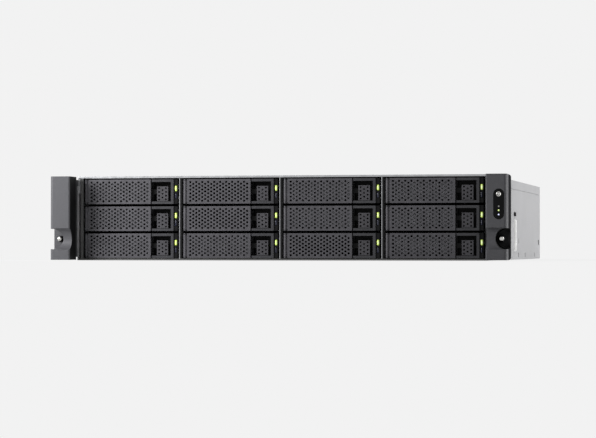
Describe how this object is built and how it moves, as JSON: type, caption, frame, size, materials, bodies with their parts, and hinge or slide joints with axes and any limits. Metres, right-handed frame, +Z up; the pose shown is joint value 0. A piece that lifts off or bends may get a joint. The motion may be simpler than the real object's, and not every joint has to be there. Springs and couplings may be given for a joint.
{
  "type": "rack storage server",
  "caption": "Rack-mount network storage server with hot-swap drive trays, swing-out tray levers, release tongues, screw-down rack ears and rear power modules.",
  "frame": {"origin": "middle of the footprint, on the underside of the case", "axes": "+Z up, -Y towards the viewer of the drive trays, +X to the viewer's right; +Y is the rear panel's side"},
  "size_m": [0.4826, 0.534, 0.088],
  "materials": {
    "case_steel": "satin light grey coat on sheet steel",
    "cage_steel": "dark zinc-plated sheet steel",
    "tray_plastic": "fine moulded grain",
    "lever_plastic": "fine moulded grain",
    "tongue_plastic": "fine moulded grain",
    "ear_plastic": "satin dark grey metallic coat",
    "bracket_steel": "dark grey coat on steel",
    "screw_steel": "bright nickel",
    "button_metal": "turned face",
    "window_black": "polished black",
    "board_laminate": "solder mask",
    "heatsink_aluminium": "extruded fins",
    "fan_plastic": "moulded",
    "module_steel": "zinc-plated sheet",
    "catch_plastic": "moulded green"
  },
  "bodies": {
    "chassis": {"chassis_base": "case_steel", "top_cover": "case_steel", "bay_cage": "cage_steel", "backplane": "board_laminate", "fan_frames": "fan_plastic", "mainboard": "board_laminate", "heatsink": "heatsink_aluminium", "memory_modules": "board_laminate", "rear_panel": "case_steel", "rack_brackets": "bracket_steel", "ear_cover_left": "ear_plastic", "ear_cover_right": "ear_plastic", "status_window": "window_black", "cover_screws": "screw_steel"},
    "fan_1": {"fan_rotor_1": "fan_plastic"},
    "fan_2": {"fan_rotor_2": "fan_plastic"},
    "fan_3": {"fan_rotor_3": "fan_plastic"},
    "module_1": {"power_module_1": "module_steel"},
    "module_catch_1": {"module_latch_1": "catch_plastic"},
    "module_2": {"power_module_2": "module_steel"},
    "module_catch_2": {"module_latch_2": "catch_plastic"},
    "screw_left": {"rack_screw_left": "screw_steel"},
    "screw_right": {"rack_screw_right": "screw_steel"},
    "button": {"power_button": "button_metal"},
    "tray_r1c1": {"tray_carrier_r1c1": "tray_plastic"},
    "lever_r1c1": {"tray_lever_r1c1": "lever_plastic"},
    "latch_r1c1": {"tray_latch_r1c1": "tongue_plastic"},
    "tray_r1c2": {"tray_carrier_r1c2": "tray_plastic"},
    "lever_r1c2": {"tray_lever_r1c2": "lever_plastic"},
    "latch_r1c2": {"tray_latch_r1c2": "tongue_plastic"},
    "tray_r1c3": {"tray_carrier_r1c3": "tray_plastic"},
    "lever_r1c3": {"tray_lever_r1c3": "lever_plastic"},
    "latch_r1c3": {"tray_latch_r1c3": "tongue_plastic"},
    "tray_r1c4": {"tray_carrier_r1c4": "tray_plastic"},
    "lever_r1c4": {"tray_lever_r1c4": "lever_plastic"},
    "latch_r1c4": {"tray_latch_r1c4": "tongue_plastic"},
    "tray_r2c1": {"tray_carrier_r2c1": "tray_plastic"},
    "lever_r2c1": {"tray_lever_r2c1": "lever_plastic"},
    "latch_r2c1": {"tray_latch_r2c1": "tongue_plastic"},
    "tray_r2c2": {"tray_carrier_r2c2": "tray_plastic"},
    "lever_r2c2": {"tray_lever_r2c2": "lever_plastic"},
    "latch_r2c2": {"tray_latch_r2c2": "tongue_plastic"},
    "tray_r2c3": {"tray_carrier_r2c3": "tray_plastic"},
    "lever_r2c3": {"tray_lever_r2c3": "lever_plastic"},
    "latch_r2c3": {"tray_latch_r2c3": "tongue_plastic"},
    "tray_r2c4": {"tray_carrier_r2c4": "tray_plastic"},
    "lever_r2c4": {"tray_lever_r2c4": "lever_plastic"},
    "latch_r2c4": {"tray_latch_r2c4": "tongue_plastic"},
    "tray_r3c1": {"tray_carrier_r3c1": "tray_plastic"},
    "lever_r3c1": {"tray_lever_r3c1": "lever_plastic"},
    "latch_r3c1": {"tray_latch_r3c1": "tongue_plastic"},
    "tray_r3c2": {"tray_carrier_r3c2": "tray_plastic"},
    "lever_r3c2": {"tray_lever_r3c2": "lever_plastic"},
    "latch_r3c2": {"tray_latch_r3c2": "tongue_plastic"},
    "tray_r3c3": {"tray_carrier_r3c3": "tray_plastic"},
    "lever_r3c3": {"tray_lever_r3c3": "lever_plastic"},
    "latch_r3c3": {"tray_latch_r3c3": "tongue_plastic"},
    "tray_r3c4": {"tray_carrier_r3c4": "tray_plastic"},
    "lever_r3c4": {"tray_lever_r3c4": "lever_plastic"},
    "latch_r3c4": {"tray_latch_r3c4": "tongue_plastic"}
  },
  "joints": [
    {"name": "fan_1_spin", "type": "hinge", "parent": "chassis", "child": "fan_1", "pos_m": [-0.14, -0.041, 0.044], "axis": [0, 1, 0], "continuous": true},
    {"name": "fan_2_spin", "type": "hinge", "parent": "chassis", "child": "fan_2", "pos_m": [0, -0.041, 0.044], "axis": [0, 1, 0], "continuous": true},
    {"name": "fan_3_spin", "type": "hinge", "parent": "chassis", "child": "fan_3", "pos_m": [0.14, -0.041, 0.044], "axis": [0, 1, 0], "continuous": true},
    {"name": "module_1_slide", "type": "slide", "parent": "chassis", "child": "module_1", "axis": [0, 1, 0], "range_m": [0, 0.17]},
    {"name": "module_1_catch", "type": "slide", "parent": "module_1", "child": "module_catch_1", "axis": [-1, 0, 0], "range_m": [0, 0.0025], "stiffness_N_per_m": 400},
    {"name": "module_2_slide", "type": "slide", "parent": "chassis", "child": "module_2", "axis": [0, 1, 0], "range_m": [0, 0.17]},
    {"name": "module_2_catch", "type": "slide", "parent": "module_2", "child": "module_catch_2", "axis": [-1, 0, 0], "range_m": [0, 0.0025], "stiffness_N_per_m": 400},
    {"name": "rack_screw_left_turn", "type": "hinge", "parent": "chassis", "child": "screw_left", "pos_m": [-0.23255, -0.247, 0.0222], "axis": [0, 1, 0], "continuous": true},
    {"name": "rack_screw_right_turn", "type": "hinge", "parent": "chassis", "child": "screw_right", "pos_m": [0.23255, -0.247, 0.0222], "axis": [0, 1, 0], "continuous": true},
    {"name": "power_button_press", "type": "slide", "parent": "chassis", "child": "button", "axis": [0, 1, 0], "range_m": [0, 0.0012], "stiffness_N_per_m": 500},
    {"name": "tray_r1c1_slide", "type": "slide", "parent": "chassis", "child": "tray_r1c1", "axis": [0, -1, 0], "range_m": [0, 0.15]},
    {"name": "lever_r1c1_swing", "type": "hinge", "parent": "tray_r1c1", "child": "lever_r1c1", "pos_m": [-0.20835, -0.2391, 0.07177], "axis": [0, 0, -1], "range_deg": [0, 75]},
    {"name": "latch_r1c1_slide", "type": "slide", "parent": "tray_r1c1", "child": "latch_r1c1", "axis": [1, 0, 0], "range_m": [0, 0.002], "stiffness_N_per_m": 300},
    {"name": "tray_r1c2_slide", "type": "slide", "parent": "chassis", "child": "tray_r1c2", "axis": [0, -1, 0], "range_m": [0, 0.15]},
    {"name": "lever_r1c2_swing", "type": "hinge", "parent": "tray_r1c2", "child": "lever_r1c2", "pos_m": [-0.10115, -0.2391, 0.07177], "axis": [0, 0, -1], "range_deg": [0, 75]},
    {"name": "latch_r1c2_slide", "type": "slide", "parent": "tray_r1c2", "child": "latch_r1c2", "axis": [1, 0, 0], "range_m": [0, 0.002], "stiffness_N_per_m": 300},
    {"name": "tray_r1c3_slide", "type": "slide", "parent": "chassis", "child": "tray_r1c3", "axis": [0, -1, 0], "range_m": [0, 0.15]},
    {"name": "lever_r1c3_swing", "type": "hinge", "parent": "tray_r1c3", "child": "lever_r1c3", "pos_m": [0.00605, -0.2391, 0.07177], "axis": [0, 0, -1], "range_deg": [0, 75]},
    {"name": "latch_r1c3_slide", "type": "slide", "parent": "tray_r1c3", "child": "latch_r1c3", "axis": [1, 0, 0], "range_m": [0, 0.002], "stiffness_N_per_m": 300},
    {"name": "tray_r1c4_slide", "type": "slide", "parent": "chassis", "child": "tray_r1c4", "axis": [0, -1, 0], "range_m": [0, 0.15]},
    {"name": "lever_r1c4_swing", "type": "hinge", "parent": "tray_r1c4", "child": "lever_r1c4", "pos_m": [0.11325, -0.2391, 0.07177], "axis": [0, 0, -1], "range_deg": [0, 75]},
    {"name": "latch_r1c4_slide", "type": "slide", "parent": "tray_r1c4", "child": "latch_r1c4", "axis": [1, 0, 0], "range_m": [0, 0.002], "stiffness_N_per_m": 300},
    {"name": "tray_r2c1_slide", "type": "slide", "parent": "chassis", "child": "tray_r2c1", "axis": [0, -1, 0], "range_m": [0, 0.15]},
    {"name": "lever_r2c1_swing", "type": "hinge", "parent": "tray_r2c1", "child": "lever_r2c1", "pos_m": [-0.20835, -0.2391, 0.0435], "axis": [0, 0, -1], "range_deg": [0, 75]},
    {"name": "latch_r2c1_slide", "type": "slide", "parent": "tray_r2c1", "child": "latch_r2c1", "axis": [1, 0, 0], "range_m": [0, 0.002], "stiffness_N_per_m": 300},
    {"name": "tray_r2c2_slide", "type": "slide", "parent": "chassis", "child": "tray_r2c2", "axis": [0, -1, 0], "range_m": [0, 0.15]},
    {"name": "lever_r2c2_swing", "type": "hinge", "parent": "tray_r2c2", "child": "lever_r2c2", "pos_m": [-0.10115, -0.2391, 0.0435], "axis": [0, 0, -1], "range_deg": [0, 75]},
    {"name": "latch_r2c2_slide", "type": "slide", "parent": "tray_r2c2", "child": "latch_r2c2", "axis": [1, 0, 0], "range_m": [0, 0.002], "stiffness_N_per_m": 300},
    {"name": "tray_r2c3_slide", "type": "slide", "parent": "chassis", "child": "tray_r2c3", "axis": [0, -1, 0], "range_m": [0, 0.15]},
    {"name": "lever_r2c3_swing", "type": "hinge", "parent": "tray_r2c3", "child": "lever_r2c3", "pos_m": [0.00605, -0.2391, 0.0435], "axis": [0, 0, -1], "range_deg": [0, 75]},
    {"name": "latch_r2c3_slide", "type": "slide", "parent": "tray_r2c3", "child": "latch_r2c3", "axis": [1, 0, 0], "range_m": [0, 0.002], "stiffness_N_per_m": 300},
    {"name": "tray_r2c4_slide", "type": "slide", "parent": "chassis", "child": "tray_r2c4", "axis": [0, -1, 0], "range_m": [0, 0.15]},
    {"name": "lever_r2c4_swing", "type": "hinge", "parent": "tray_r2c4", "child": "lever_r2c4", "pos_m": [0.11325, -0.2391, 0.0435], "axis": [0, 0, -1], "range_deg": [0, 75]},
    {"name": "latch_r2c4_slide", "type": "slide", "parent": "tray_r2c4", "child": "latch_r2c4", "axis": [1, 0, 0], "range_m": [0, 0.002], "stiffness_N_per_m": 300},
    {"name": "tray_r3c1_slide", "type": "slide", "parent": "chassis", "child": "tray_r3c1", "axis": [0, -1, 0], "range_m": [0, 0.15]},
    {"name": "lever_r3c1_swing", "type": "hinge", "parent": "tray_r3c1", "child": "lever_r3c1", "pos_m": [-0.20835, -0.2391, 0.01523], "axis": [0, 0, -1], "range_deg": [0, 75]},
    {"name": "latch_r3c1_slide", "type": "slide", "parent": "tray_r3c1", "child": "latch_r3c1", "axis": [1, 0, 0], "range_m": [0, 0.002], "stiffness_N_per_m": 300},
    {"name": "tray_r3c2_slide", "type": "slide", "parent": "chassis", "child": "tray_r3c2", "axis": [0, -1, 0], "range_m": [0, 0.15]},
    {"name": "lever_r3c2_swing", "type": "hinge", "parent": "tray_r3c2", "child": "lever_r3c2", "pos_m": [-0.10115, -0.2391, 0.01523], "axis": [0, 0, -1], "range_deg": [0, 75]},
    {"name": "latch_r3c2_slide", "type": "slide", "parent": "tray_r3c2", "child": "latch_r3c2", "axis": [1, 0, 0], "range_m": [0, 0.002], "stiffness_N_per_m": 300},
    {"name": "tray_r3c3_slide", "type": "slide", "parent": "chassis", "child": "tray_r3c3", "axis": [0, -1, 0], "range_m": [0, 0.15]},
    {"name": "lever_r3c3_swing", "type": "hinge", "parent": "tray_r3c3", "child": "lever_r3c3", "pos_m": [0.00605, -0.2391, 0.01523], "axis": [0, 0, -1], "range_deg": [0, 75]},
    {"name": "latch_r3c3_slide", "type": "slide", "parent": "tray_r3c3", "child": "latch_r3c3", "axis": [1, 0, 0], "range_m": [0, 0.002], "stiffness_N_per_m": 300},
    {"name": "tray_r3c4_slide", "type": "slide", "parent": "chassis", "child": "tray_r3c4", "axis": [0, -1, 0], "range_m": [0, 0.15]},
    {"name": "lever_r3c4_swing", "type": "hinge", "parent": "tray_r3c4", "child": "lever_r3c4", "pos_m": [0.11325, -0.2391, 0.01523], "axis": [0, 0, -1], "range_deg": [0, 75]},
    {"name": "latch_r3c4_slide", "type": "slide", "parent": "tray_r3c4", "child": "latch_r3c4", "axis": [1, 0, 0], "range_m": [0, 0.002], "stiffness_N_per_m": 300}
  ]
}
